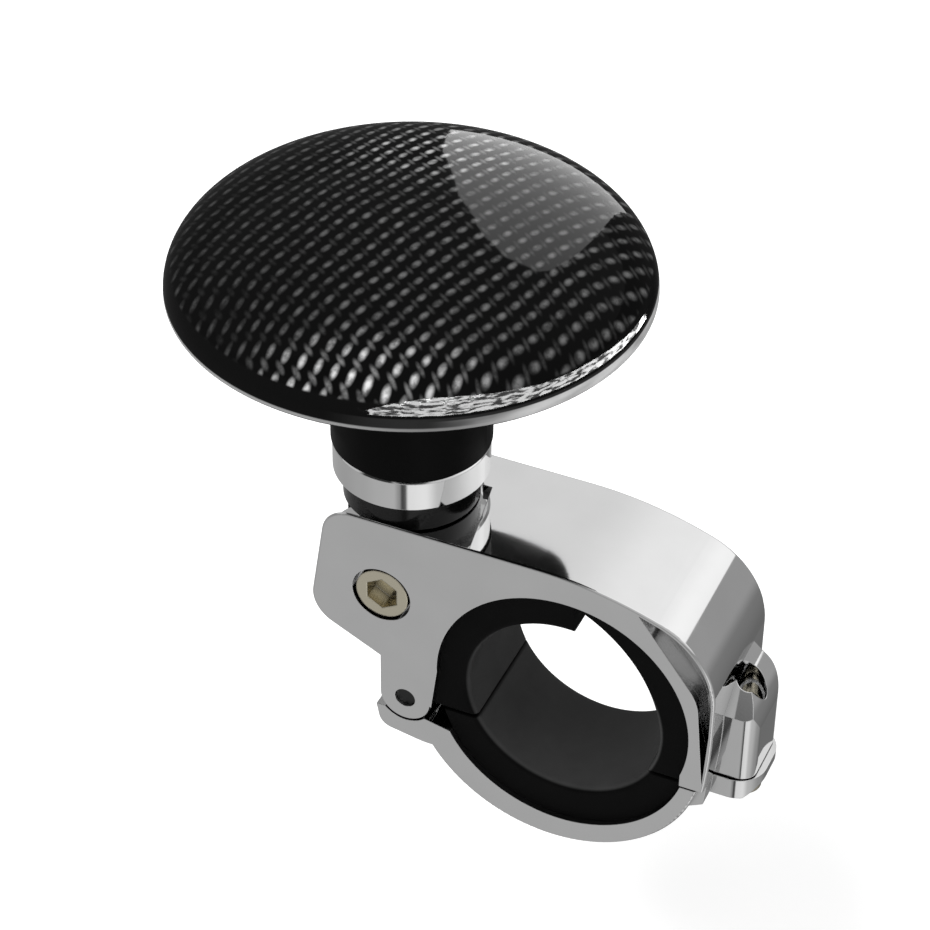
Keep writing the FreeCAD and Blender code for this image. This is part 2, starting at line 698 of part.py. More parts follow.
def cut_knuckle_slot(body):
    """Room between the ears for the knuckle, and the hole for the hinge pin."""
    knuckle = new_sketch(body)
    draw_circle(knuckle, pin_x, pin_z, D["ear_radius"] + D["joint_gap"])
    pocket(body, knuckle, D["knuckle_width"] + 2 * D["side_gap"], symmetric=True)
    hole = new_sketch(body)
    draw_circle(hole, pin_x, pin_z, D["pin_radius"] + D["running_gap"] / 2)
    pocket(body, hole, D["jaw_width"], symmetric=True)


def cut_pivot_holes(body):
    """Cheek holes: round for the screw's head in front, hexagonal for the nut behind."""
    shank = new_sketch(body)
    draw_circle(shank, knob_x, D["pivot_height"], D["pivot_radius"] + D["running_gap"])
    pocket(body, shank, D["jaw_width"], symmetric=True)
    head = new_sketch(body, "XZ_Plane", half_width)
    draw_circle(head, knob_x, D["pivot_height"], D["pivot_head_radius"] + D["pivot_ring_gap"])
    pocket(body, head, head_height + D["pivot_sink"])
    nut = new_sketch(body, "XZ_Plane", -half_width)
    draw_hexagon(nut, knob_x, D["pivot_height"], D["nut_flats"] + 2 * D["nut_gap"])
    pocket(body, nut, head_height + D["pivot_sink"], reverse=True)


# Lower jaw: a crescent with a hook round the ears, a knuckle between them and a lug for the screw
def build_lower_jaw():
    body = new_body("lower_jaw")
    disc = new_sketch(body)
    draw_circle(disc, -D["lower_shift"], -D["lower_sink"], D["lower_radius"])
    pad(body, disc, D["jaw_width"], symmetric=True)

    hook = new_sketch(body)
    draw_polygon(hook, [
        (-D["hook_tip_reach"], -D["hook_tip_drop"]),
        (-D["hook_heel_reach"], -D["hook_heel_drop"]),
        (-D["hook_root_reach"], -D["hook_root_drop"]),
        (-D["hook_root_reach"] + D["ear_radius"], -D["hook_root_drop"]),
        (-D["hook_root_reach"] + D["ear_radius"], -D["hook_tip_drop"]),
    ])
    pad(body, hook, D["jaw_width"], symmetric=True)
    round_edges(body, D["hook_radius"], along_y_at(-D["hook_heel_reach"], -D["hook_heel_drop"]))

    above = new_sketch(body)
    draw_polygon(above, [
        (-FAR, lower_top),
        (-FAR, FAR),
        (FAR, FAR),
        (FAR, lower_top),
    ])
    pocket(body, above, D["jaw_width"], symmetric=True)

    horn = new_sketch(body)
    ear_room = D["ear_radius"] + D["joint_gap"]
    draw_polygon(horn, [
        (pin_x, pin_z),
        (pin_x + ear_room * 0.7, pin_z - ear_room * 0.7),
        (-D["seat_radius"] + 2.0, -D["horn_drop"]),
        (-D["seat_radius"] + 2.0, FAR),
        (pin_x, FAR),
    ])
    pocket(body, horn, D["jaw_width"], symmetric=True)

    ear = new_sketch(body)
    draw_circle(ear, pin_x, pin_z, ear_room)
    pocket(body, ear, D["jaw_width"], symmetric=True)

    seat = new_sketch(body)
    draw_circle(seat, ZERO, -D["seat_split"], D["seat_radius"])
    pocket(body, seat, D["jaw_width"], symmetric=True)
    round_edges(body, D["edge_round"], on_face_plane(half_width, lower_outer_edge))

    knuckle = new_sketch(body)
    draw_circle(knuckle, pin_x, pin_z, D["ear_radius"])
    pad(body, knuckle, D["knuckle_width"], symmetric=True)
    web = new_sketch(body)
    draw_polygon(web, [
        (pin_x, pin_z - D["pin_radius"] * 1.5),
        (pin_x - D["ear_radius"] * 0.5, -D["hook_heel_drop"] + 1.0),
        (pin_x + D["ear_radius"], -D["hook_heel_drop"] + 1.0),
    ])
    pad(body, web, D["knuckle_width"], symmetric=True)
    bore = new_sketch(body)
    draw_circle(bore, pin_x, pin_z, D["pin_radius"] + D["running_gap"])
    pocket(body, bore, D["jaw_width"], symmetric=True)

    base = new_sketch(body)
    draw_polygon(base, [
        (D["seat_side"] + 1.0, lower_top),
        (D["toe_reach"], lower_top),
        (D["toe_reach"] - 0.3, lower_top - D["lug_height"]),
        (D["seat_side"] + 0.2, lower_top - D["lug_height"] - 1.6),
    ])
    pad(body, base, D["lug_base_width"], symmetric=True)
    lug = new_sketch(body)
    draw_polygon(lug, [
        (D["seat_side"] + 1.0, lower_top),
        (D["lug_reach"], lower_top),
        (D["lug_reach"], lower_top - D["lug_lip"]),
        (D["lug_reach"] - D["lug_run"], lower_top - D["lug_height"]),
        (D["seat_side"] + 1.0, lower_top - D["lug_height"]),
    ])
    pad(body, lug, D["lug_width"], symmetric=True)
    round_edges(body, D["lug_round"], upright_at(D["lug_reach"], D["lug_width"] / 2))
    hole = new_sketch(body, "XY_Plane", lower_top)
    draw_circle(hole, D["screw_reach"], ZERO, screw_hole_radius)
    pocket(body, hole, FAR)
    spot = new_sketch(body, "XY_Plane", lower_top - D["lug_height"] + D["spot_depth"])
    draw_circle(spot, D["screw_reach"], ZERO, D["spot_radius"])
    pocket(body, spot, FAR)
    return body


def lower_outer_edge(edge):
    """Edges of the lower jaw's outside."""
    middle = edge.valueAt((edge.FirstParameter + edge.LastParameter) / 2)
    from_centre = math.hypot(middle.x + D["lower_shift"].value, middle.z + D["lower_sink"].value)
    return abs(from_centre - D["lower_radius"].value) < 0.3


# Rubber liners: the seats' outlines outside, the bore inside
liner_half = half_width - D["liner_inset"]


def bore_edge(edge):
    """Long edges of a liner's faces along the bore."""
    middle = edge.valueAt((edge.FirstParameter + edge.LastParameter) / 2)
    on_bore = abs(math.hypot(middle.x, middle.z) - D["bore_radius"].value) < 0.05
    return on_bore and edge.Length > D["bore_radius"].value


def build_upper_liner():
    body = new_body("upper_liner")
    sketch = new_sketch(body)
    seat = D["seat_radius"]
    bore = D["bore_radius"]
    bottom = upper_bottom + D["parting_gap"] / 2
    share = (D["ear_seat_height"] - bottom) / (D["ear_seat_height"] - pin_z)
    left_x = ear_corner_x + (leg_side - ear_corner_x) * share
    bore_x = root(bore * bore - bottom * bottom)
    step_x = bore * 0.07
    step_low = root(bore * bore - step_x * step_x)
    draw_path(sketch, [
        (left_x, bottom),
        (ear_corner_x, D["ear_seat_height"]),
        (D["seat_side"], D["seat_split"] - side_corner_drop, (ZERO, D["seat_split"] + seat)),
        (D["seat_side"], bottom),
        (bore_x, bottom),
        (bore, ZERO, (bore * 0.9659, -bore * 0.2588)),
        (step_x, D["seat_split"] + seat - D["liner_skin"], (bore * 0.7, bore * 0.84)),
        (step_x, step_low),
        (-bore_x, bottom, (-bore * 0.9, bore * 0.4359)),
    ])
    pad(body, sketch, 2 * liner_half, symmetric=True)
    round_edges(body, D["liner_round"], on_face_plane(liner_half, bore_edge))
    return body


def build_lower_liner():
    body = new_body("lower_liner")
    sketch = new_sketch(body)
    bore = D["bore_radius"]
    top = lower_top - D["parting_gap"] / 2
    seat_rise = top + D["seat_split"]
    seat_x = root(seat_square - seat_rise * seat_rise)
    bore_x = root(bore * bore - top * top)
    draw_path(sketch, [
        (-bore_x, top),
        (bore_x, top, (ZERO, -bore)),
        (seat_x, top),
        (-seat_x, top, (ZERO, -D["seat_radius"] - D["seat_split"])),
    ])
    pad(body, sketch, 2 * liner_half, symmetric=True)
    round_edges(body, D["liner_round"], on_face_plane(liner_half, bore_edge))
    return body


# Pins, screws, nut and washers
def build_hinge_pin():
    body = new_body("hinge_pin")
    sketch = new_sketch(body)
    draw_circle(sketch, pin_x, pin_z, D["pin_radius"])
    pad(body, sketch, D["jaw_width"] - 2 * D["pin_inset"], symmetric=True)
    return body


def build_pivot_screw():
    body = new_body("pivot_screw")
    face = half_width - D["pivot_sink"]
    head = new_sketch(body, "XZ_Plane", face)
    draw_circle(head, knob_x, D["pivot_height"], D["pivot_head_radius"])
    pad(body, head, head_height, reverse=True)
    shank = new_sketch(body, "XZ_Plane", face - head_height)
    draw_circle(shank, knob_x, D["pivot_height"], D["pivot_radius"])
    pad(body, shank, 2 * face - head_height - D["pivot_sink"], reverse=True)
    socket = new_sketch(body, "XZ_Plane", face)
    draw_hexagon(socket, knob_x, D["pivot_height"], D["pivot_socket"])
    pocket(body, socket, head_height * D["socket_share"])
    return body


def build_pivot_nut():
    body = new_body("pivot_nut")
    sketch = new_sketch(body, "XZ_Plane", D["pivot_sink"] - half_width)
    draw_hexagon(sketch, knob_x, D["pivot_height"], D["nut_flats"])
    draw_circle(sketch, knob_x, D["pivot_height"], D["pivot_radius"] + D["running_gap"] / 2)
    pad(body, sketch, head_height)
    return body


def build_fold_washer(label, front):
    body = new_body(label)
    near = D["tongue_thickness"] / 2 + D["fold_gap"]
    lift = near if front else -near
    sketch = new_sketch(body, "XZ_Plane", lift)
    draw_circle(sketch, knob_x, D["pivot_height"], D["fold_washer_radius"])
    draw_circle(sketch, knob_x, D["pivot_height"], D["pivot_radius"] + D["running_gap"])
    pad(body, sketch, D["fold_washer_thickness"], reverse=not front)
    return body


seat_height = lower_top - D["lug_height"] + D["spot_depth"]


def build_clamp_washer():
    body = new_body("clamp_washer")
    sketch = new_sketch(body, "XY_Plane", seat_height)
    draw_circle(sketch, D["screw_reach"], ZERO, D["screw_head_radius"])
    draw_circle(sketch, D["screw_reach"], ZERO, D["screw_radius"] + D["running_gap"])
    pad(body, sketch, D["lock_thickness"], reverse=True)
    return body


def build_clamp_screw():
    body = new_body("clamp_screw")
    under_head = seat_height - D["lock_thickness"]
    shank = new_sketch(body, "XY_Plane", under_head)
    draw_circle(shank, D["screw_reach"], ZERO, D["screw_radius"])
    pad(body, shank, D["screw_length"])
    head = new_sketch(body, "XY_Plane", under_head)
    draw_circle(head, D["screw_reach"], ZERO, D["screw_head_radius"])
    pad(body, head, D["screw_head_height"], reverse=True)
    socket = new_sketch(body, "XY_Plane", under_head - D["screw_head_height"])
    draw_hexagon(socket, D["screw_reach"], ZERO, D["screw_socket"])
    pocket(body, socket, D["screw_head_height"] * D["socket_share"], reverse=True)
    return body


# Post, ring and everything on the knob's axis
ring_top = D["ring_bottom"] + D["ring_height"]
neck_bottom = ring_top + D["neck_gap"]
bearing_bottom = neck_bottom + D["neck_lip"]
bearing_top = bearing_bottom + D["bearing_width"]


def build_stem():
    body = turned_body("stem", [
        (ZERO, D["collar_bottom"]),
        (D["collar_radius"], D["collar_bottom"]),
        (D["collar_radius"], D["ring_bottom"]),
        (D["post_radius"], D["ring_bottom"]),
        (D["post_radius"], bearing_bottom),
        (D["spindle_radius"], bearing_bottom),
        (D["spindle_radius"], bearing_top),
        (ZERO, bearing_top),
    ], knob_x)
    tongue = new_sketch(body)
    draw_polygon(tongue, [
        (-D["tongue_radius"], D["collar_bottom"]),
        (-D["tongue_radius"], D["pivot_height"]),
        (D["tongue_radius"], D["pivot_height"]),
        (D["tongue_radius"], D["collar_bottom"]),
    ])
    pad(body, tongue, D["tongue_thickness"], symmetric=True)
    tip = new_sketch(body)
    draw_circle(tip, ZERO, D["pivot_height"], D["tongue_radius"])
    pad(body, tip, D["tongue_thickness"], symmetric=True)
    bore = new_sketch(body)
    draw_circle(bore, ZERO, D["pivot_height"], D["pivot_radius"] + D["running_gap"])
    pocket(body, bore, D["jaw_width"], symmetric=True)
    tap = new_sketch(body, "XY_Plane", bearing_top)
    draw_circle(tap, ZERO, ZERO, D["tap_radius"] + D["running_gap"] / 2)
    pocket(body, tap, D["tap_depth"] + 1.0)
    return body


def build_chrome_ring():
    bevel = D["edge_round"]
    inner = D["post_radius"] + D["running_gap"] / 2
    return turned_body("chrome_ring", [
        (inner, D["ring_bottom"]),
        (D["ring_radius"] - bevel, D["ring_bottom"]),
        (D["ring_radius"], D["ring_bottom"] + bevel),
        (D["ring_radius"], ring_top - bevel),
        (D["ring_radius"] - bevel, ring_top),
        (inner, ring_top),
    ], knob_x)


def race_sizes():
    """Ball circle, groove radius and the radii where the grooves open."""
    circle = (D["spindle_radius"] + D["bearing_radius"]) / 2
    groove = D["ball_radius"] + D["race_gap"]
    land = D["ball_radius"] * 0.6
    return circle, groove, land


def build_races():
    circle, groove, land = race_sizes()
    middle = bearing_bottom + D["bearing_width"] / 2
    open_half = root(groove * groove - land * land)
    inner_land = circle - land
    outer_land = circle + land
    inner = turned_body("bearing_inner_race", [
        (D["spindle_radius"] + D["running_gap"] / 4, bearing_bottom),
        (inner_land, bearing_bottom),
        (inner_land, middle - open_half),
        (inner_land, middle + open_half, (circle - groove, middle)),
        (inner_land, bearing_top),
        (D["spindle_radius"] + D["running_gap"] / 4, bearing_top),
    ], knob_x)
    outer = turned_body("bearing_outer_race", [
        (outer_land, bearing_bottom),
        (D["bearing_radius"], bearing_bottom),
        (D["bearing_radius"], bearing_top),
        (outer_land, bearing_top),
        (outer_land, middle + open_half),
        (outer_land, middle - open_half, (circle + groove, middle)),
    ], knob_x)
    return inner, outer


def build_cage_and_balls():
    circle, groove, land = race_sizes()
    middle = bearing_bottom + D["bearing_width"] / 2
    half = D["cage_thickness"] / 2
    cage = turned_body("ball_cage", [
        (circle - half, middle - D["ball_radius"] - half),
        (circle + half, middle - D["ball_radius"] - half),
        (circle + half, middle + D["ball_radius"] + half),
        (circle - half, middle + D["ball_radius"] + half),
    ], knob_x)
    count = int(D["ball_count"].value)
    pockets = new_sketch(cage, "XZ_Plane")
    draw_circle(pockets, ZERO, middle, D["ball_radius"] + D["race_gap"])
    first = pocket(cage, pockets, D["bearing_radius"])
    pattern = cage.newObject("PartDesign::PolarPattern", "BallPockets")
    pattern.Originals = [first]
    pattern.Axis = (pockets, ["V_Axis"])
    pattern.Angle = 360
    pattern.Occurrences = count
    pattern.setExpression("Occurrences", D["ball_count"].text)
    cage.Tip = pattern
    doc.recompute()

    balls = []
    for number in range(count):
        ball = doc.addObject("Part::Sphere", "Ball%d" % number)
        ball.Radius = D["ball_radius"].value
        ball.setExpression("Radius", D["ball_radius"].text)
        turned = number * 360 / count - 90
        place_x = knob_x + circle * math.cos(math.radians(turned))
        place_y = circle * math.sin(math.radians(turned))
        ball.Placement = Placement(Vector(place_x.value, place_y.value, middle.value), Rotation())
        ball.setExpression("Placement.Base.x", place_x.text)
        ball.setExpression("Placement.Base.y", place_y.text)
        ball.setExpression("Placement.Base.z", middle.text)
        balls.append(ball)
    group = doc.addObject("Part::Compound", "bearing_balls")
    group.Label = "bearing_balls"
    group.Links = balls
    doc.recompute()
    return cage, group


def build_spindle_screw():
    body = new_body("spindle_screw", knob_x)
    top = bearing_top + D["keeper_thickness"]
    shank = new_sketch(body, "XY_Plane", top)
    draw_circle(shank, ZERO, ZERO, D["tap_radius"])
    pad(body, shank, D["tap_depth"] + D["keeper_thickness"], reverse=True)
    head = new_sketch(body, "XY_Plane", top)
    draw_circle(head, ZERO, ZERO, D["cap_radius"])
    pad(body, head, D["cap_height"])
    socket = new_sketch(body, "XY_Plane", top + D["cap_height"])
    draw_hexagon(socket, ZERO, ZERO, D["cap_socket"])
    pocket(body, socket, D["cap_height"] * D["socket_share"])
    return body


def build_spindle_washer():
    inner = D["tap_radius"] + D["running_gap"]
    top = bearing_top + D["keeper_thickness"]
    return turned_body("spindle_washer", [
        (inner, bearing_top),
        (D["keeper_radius"], bearing_top),
        (D["keeper_radius"], top),
        (inner, top),
    ], knob_x)


def build_retaining_ring():
    body = new_body("retaining_ring", knob_x)
    sketch = new_sketch(body, "XY_Plane", bearing_top + D["running_gap"])
    outer = D["bearing_radius"] + D["snap_depth"] - D["running_gap"]
    draw_circle(sketch, ZERO, ZERO, outer)
    draw_circle(sketch, ZERO, ZERO, D["bearing_radius"] - 1.3)
    pad(body, sketch, D["snap_thickness"])
    gap = new_sketch(body, "XY_Plane", bearing_top)
    draw_polygon(gap, [
        (ZERO, as_size(-1.6)),
        (D["neck_radius"], as_size(-2.2)),
        (D["neck_radius"], as_size(2.2)),
        (ZERO, as_size(1.6)),
    ])
    pocket(body, gap, D["snap_thickness"] * 2, reverse=True)
    return body


def build_knob_base():
    wall = D["shell_wall"]
    bore = D["bearing_radius"] + D["running_gap"] / 4
    groove_low = bearing_top + D["running_gap"] / 2
    groove_high = groove_low + D["snap_thickness"] + D["running_gap"]
    groove_radius = D["bearing_radius"] + D["snap_depth"]
    belly = D["knob_height"] - D["belly_depth"]
    lip_radius = D["post_radius"] + 1.6
    tube_top = D["knob_height"] - D["belly_depth"] + wall + 1.2
    inner_radius = D["knob_radius"] - D["cavity_inset"]
    rim_low = D["knob_height"] - D["spigot_height"] - D["neck_gap"]
    flat = D["neck_radius"] + D["neck_flat"]
    belly_x = flat + (D["knob_radius"] - flat) * D["underside_level"]
    belly_z = D["knob_height"] - D["rim_round"]
    return turned_body("knob_base", [
        (lip_radius, neck_bottom),
        (D["neck_radius"], neck_bottom),
        (D["neck_radius"], belly),
        (flat, belly),
        (D["knob_radius"], D["knob_height"], (belly_x, belly), (D["knob_radius"], belly_z)),
        (inner_radius, D["knob_height"]),
        (inner_radius, rim_low),
        (flat, belly + wall),
        (D["neck_radius"], belly + wall),
        (D["neck_radius"], tube_top),
        (bore, tube_top),
        (bore, groove_high),
        (groove_radius, groove_high),
        (groove_radius, groove_low),
        (bore, groove_low),
        (bore, bearing_bottom),
        (lip_radius, bearing_bottom),
    ], knob_x)


def build_knob_dome():
    wall = D["shell_wall"]
    radius = D["knob_radius"]
    base = D["knob_height"]
    rise = D["dome_rise"]
    fullness = D["curve_fullness"]
    spigot = radius - D["cavity_inset"] - D["seam_gap"]
    inner = spigot - D["spigot_wall"]
    inner_rise = rise - wall
    return turned_body("knob_dome", [
        (ZERO, base + inner_rise),
        (inner, base, (inner * fullness, base + inner_rise), (inner, base + inner_rise * fullness)),
        (inner, base - D["spigot_height"]),
        (spigot, base - D["spigot_height"]),
        (spigot, base),
        (radius, base),
        (ZERO, base + rise, (radius, base + rise * fullness), (radius * fullness, base + rise)),
    ], knob_x)


pieces = [build_upper_jaw(), build_lower_jaw(), build_upper_liner(), build_lower_liner()]
pieces += [build_hinge_pin(), build_pivot_screw(), build_pivot_nut()]
pieces += [build_fold_washer("front_fold_washer", True), build_fold_washer("rear_fold_washer", False)]
pieces += [build_clamp_washer(), build_clamp_screw()]
pieces += [build_stem(), build_chrome_ring()]
pieces += list(build_races())
pieces += list(build_cage_and_balls())
pieces += [build_spindle_screw(), build_spindle_washer(), build_retaining_ring()]
pieces += [build_knob_base(), build_knob_dome()]
doc.recompute()

for item in doc.Objects:
    if "Invalid" in item.State or "Error" in item.State:
        raise RuntimeError("%s failed: %s" % (item.Label, item.State))
for piece in pieces:
    if piece.Shape.isNull() or not piece.Shape.isValid():
        raise RuntimeError(piece.Label + " has no valid shape")

os.makedirs("parts", exist_ok=True)
for piece in pieces:
    piece.Shape.exportStep("parts/%s.step" % piece.Label)
    print("%-20s solids %d volume %.1f" % (piece.Label, len(piece.Shape.Solids), piece.Shape.Volume))
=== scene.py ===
"""Steering wheel spinner knob: finishes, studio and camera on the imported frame. Units are metres."""

import math

import bpy
from mathutils import Matrix, Vector


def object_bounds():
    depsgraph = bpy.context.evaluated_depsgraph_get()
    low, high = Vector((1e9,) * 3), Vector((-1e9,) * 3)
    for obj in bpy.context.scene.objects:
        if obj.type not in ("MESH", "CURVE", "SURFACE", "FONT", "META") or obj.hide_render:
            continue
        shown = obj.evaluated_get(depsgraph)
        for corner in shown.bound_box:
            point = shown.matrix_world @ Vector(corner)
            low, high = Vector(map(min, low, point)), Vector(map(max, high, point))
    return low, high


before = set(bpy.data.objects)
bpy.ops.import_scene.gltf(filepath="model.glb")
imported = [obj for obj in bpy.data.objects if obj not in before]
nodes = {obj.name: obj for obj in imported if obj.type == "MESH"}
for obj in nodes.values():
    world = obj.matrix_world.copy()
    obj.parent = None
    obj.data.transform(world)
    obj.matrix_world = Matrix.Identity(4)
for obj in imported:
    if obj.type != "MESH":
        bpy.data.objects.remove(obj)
cad_low, cad_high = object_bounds()
MM = 0.001

# The knob's axis and the height of its widest plane
KNOB_X = -26.7 * MM
KNOB_PLANE = 57.5 * MM
# The liners' bore surface lies inside the first radius, and their other faces outside the second
BORE_SURFACE = 14.2 * MM
BORE_LIMIT = 14.6 * MM
# How far round a point other surfaces count as hiding it, for the painted shade that darkens the
# metals' crevices
PAINTED_SHADE_REACH = 3 * MM

# The opened jaw with its drawn screw reaches 31 mm below the closed clamp: the floor leaves it room
OPEN_REACH = 32.0 * MM
FLOOR_SIZE = 6.0

# The weave on the dome, for places in millimetres: cells along a row and across the rows, and for
# each thread direction the long and the short way through its dash
ALONG_ROW = (0.46817, 0.25776, 0.0)
ACROSS_ROWS = (-0.01403, -0.38226, 0.0)
TOP_DASH = ((2.2078, -1.0245), (4.3313, 5.51))
LOW_DASH = ((3.6, 1.8), (-2.6, 5.2))
LOW_DASH_SHARE = 0.28
# Directions over the dome: to the right of the photograph's view, and towards its lower edge
VIEW_RIGHT = (0.913, 0.408, 0.0)
VIEW_NEAR = (0.40, -0.916, 0.0)

# Brightness round the object, by azimuth from 0.0 at -180 degrees to 1.0 at 180 degrees: the big card
# above, the wall below its edge, and what stands round the object below the horizon
CARD_ROUND = [
    (0.00, 0.55), (0.20, 0.50), (0.45, 0.60), (0.62, 1.05), (0.66, 1.15), (0.72, 1.00),
    (0.80, 0.80), (0.87, 0.70), (1.00, 0.55),
]
WALL_ROUND = [(0.00, 0.30), (0.50, 0.34), (0.68, 0.36), (0.85, 0.40), (1.00, 0.30)]
LOW_ROUND = [
    (0.000, 0.36), (0.100, 0.40), (0.185, 0.45), (0.245, 0.46), (0.268, 0.30), (0.280, 0.06),
    (0.292, 0.10), (0.305, 0.80), (0.370, 0.85), (0.430, 0.55), (0.560, 0.32), (0.690, 0.15),
    (0.800, 0.42), (1.000, 0.36),
]

# The photograph's viewpoint: place in millimetres, directions to its right and back, lens
CAMERA_PLACE = (105.28, -283.63, 277.04)
CAMERA_RIGHT = (0.9129, 0.4081, 0.0095)
CAMERA_BACK = (0.3133, -0.7156, 0.6243)
CAMERA_LENS = 114.96

# The two cards that the dome mirrors: their distance, the height that they stand round, and their
# edges in azimuth and elevation from there, in degrees
CARD_DISTANCE = 0.30
CARD_HEIGHT = 65 * MM
WINDOW_LEFT = [
    (111.3, -3.7), (111.5, 15.8), (108.7, 31.8), (102.2, 42.0), (94.0, 47.0), (82.0, 47.8),
]
WINDOW_RIGHT = [
    (86.4, -6.0), (83.5, 12.0), (80.5, 26.0), (79.2, 34.0), (78.4, 41.0), (79.5, 46.0),
]
GLINT_TOP = [
    (-82.5, 9.5), (-72.2, 25.3), (-58.3, 33.2), (-43.7, 31.6), (-29.9, 26.1), (-18.8, 20.6),
    (-8.2, 15.0), (3.4, 10.8), (16.4, 6.7), (27.8, 0.5), (38.2, -5.3), (52.2, -11.5),
]
GLINT_FOOT = [
    (-82.3, -0.2), (-71.8, 0.2), (-58.9, 0.2), (-45.6, -0.3), (-32.0, -1.3), (-20.6, -2.5),
    (-9.4, -3.9), (2.6, -5.9), (16.3, -8.6), (28.6, -11.4), (39.6, -14.2), (54.5, -18.3),
]


class Graph:
    """The emptied node tree of a material or world, with helpers that add linked nodes to it."""

    def __init__(self, owner):
        owner.use_nodes = True
        self.tree = owner.node_tree
        self.tree.nodes.clear()

    def put(self, socket, value):
        """Link a socket or a node's first output to an input, or set the input to a constant."""
        if isinstance(value, bpy.types.NodeSocket):
            self.tree.links.new(value, socket)
        elif isinstance(value, bpy.types.Node):
            self.tree.links.new(value.outputs[0], socket)
        else:
            socket.default_value = value

    def feed(self, node, inputs):
        """Link or set several inputs of a node."""
        for key, value in inputs.items():
            self.put(node.inputs[key], value)

    def add(self, kind, inputs=None, **settings):
        """Add a node with its settings and inputs."""
        node = self.tree.nodes.new(kind)
        for key, value in settings.items():
            setattr(node, key, value)
        self.feed(node, inputs or {})
        return node

    def math(self, operation, first, second=0.0):
        return self.add("ShaderNodeMath", {0: first, 1: second}, operation=operation).outputs[0]

    def product(self, first, *others):
        for other in others:
            first = self.math("MULTIPLY", first, other)
        return first

    def weighted(self, first, second, shares):
        """Sum of two values, each times its share."""
        return self.math("ADD", self.product(first, shares[0]), self.product(second, shares[1]))

    def reach(self, first, second):
        """Length of a flat vector from its two parts."""
        first_square = self.math("POWER", first, 2.0)
        second_square = self.math("POWER", second, 2.0)
        return self.math("SQRT", self.math("ADD", first_square, second_square))

    def vector(self, operation, inputs, output="Vector"):
        return self.add("ShaderNodeVectorMath", inputs, operation=operation).outputs[output]

    def along(self, vector, way):
        """Length of a vector along a fixed direction."""
        return self.vector("DOT_PRODUCT", {0: vector, 1: way}, "Value")

    def split(self, vector):
        """The three parts of a vector."""
        return self.add("ShaderNodeSeparateXYZ", {0: vector}).outputs

    def ramp(self, value, stops, interpolation="LINEAR"):
        """Colour by value, from stops of a place with a grey or a colour."""
        node = self.add("ShaderNodeValToRGB", {0: value})
        node.color_ramp.interpolation = interpolation
        elements = node.color_ramp.elements
        while len(elements) > len(stops):
            elements.remove(elements[-1])
        while len(elements) < len(stops):
            elements.new(1.0)
        for element, (place, colour) in zip(elements, stops):
            element.position = place
            shade = colour if isinstance(colour, tuple) else (colour, colour, colour)
            element.color = (*shade, 1.0)
        return node.outputs[0]

    def smooth(self, value, low, high, from_value=0.0, to_value=1.0):
        """Soft step of a value between two limits."""
        places = {
            "Value": value, "From Min": low, "From Max": high,
            "To Min": from_value, "To Max": to_value,
        }
        return self.add("ShaderNodeMapRange", places, interpolation_type="SMOOTHSTEP").outputs[0]

    def noise(self, vector, scale, detail):
        places = {"Vector": vector, "Scale": scale, "Detail": detail}
        return self.add("ShaderNodeTexNoise", places).outputs[0]

    def uneven(self, cloud, middle, spread):
        """A value that wanders round its middle by a share of it, as the cloud does."""
        return self.smooth(cloud, 0.3, 0.7, middle * (1 - spread), middle * (1 + spread))

    def mix(self, factor, first, second):
        """Colour between two colours."""
        node = self.add("ShaderNodeMix", data_type="RGBA")
        self.feed(node, {0: factor, 6: first, 7: second})
        return node.outputs[2]

    def soft_edges(self, radius):
        """Normal with the edges rounded."""
        return self.add("ShaderNodeBevel", {"Radius": radius}, samples=6)

    def bump(self, height, strength, distance, normal=None):
        """Normal with relief, over another normal if one is given."""
        places = {"Strength": strength, "Distance": distance, "Height": height}
        if normal is not None:
            places["Normal"] = normal
        return self.add("ShaderNodeBump", places)


def grey(value):
    """Colour of one brightness."""
    return (value, value, value, 1.0)


def new_material(name):
    """A material with only its principled shader, and the object's own coordinates."""
    material = bpy.data.materials.new(name)
    graph = Graph(material)
    shader = graph.add("ShaderNodeBsdfPrincipled")
    graph.add("ShaderNodeOutputMaterial", {0: shader})
    place = graph.add("ShaderNodeTexCoord").outputs["Object"]
    return material, graph, shader, place


def metal(name, shade, rough, grain, edge=0.15, painted_shade_share=0.35, tint=(1.0, 1.0, 1.0)):
    """Polished or satin metal with soft edges in mm, faint orange peel, uneven gloss and painted shade
    that darkens its colour in crevices.
    """
    material, graph, shader, place = new_material(name)
    cloud = graph.noise(place, 90.0, 3.0)
    fine = graph.noise(place, 2600.0, 2.0)
    darker = tuple(shade * (1 - 0.03) * part for part in tint)
    lighter = tuple(shade * (1 + 0.03) * part for part in tint)
    clean = graph.ramp(cloud, [(0.3, darker), (0.7, lighter)])
    # Painted shade: the colour darkens towards near-black where nearby faces of the same piece hide a
    # point
    places = {"Distance": PAINTED_SHADE_REACH}
    crevice_occlusion = graph.add("ShaderNodeAmbientOcclusion", places, samples=16, only_local=True)
    unshaded_share = graph.smooth(crevice_occlusion.outputs["AO"], 0.1, 0.75, painted_shade_share, 1.0)
    peel = graph.bump(cloud, 0.06, 0.02 * MM, graph.soft_edges(edge * MM))
    graph.feed(shader, {
        "Base Color": graph.mix(unshaded_share, grey(0.01), clean),
        "Metallic": 1.0,
        "Roughness": graph.uneven(cloud, rough, 0.35),
        "Normal": graph.bump(fine, grain, 0.004 * MM, peel),
    })
    return material


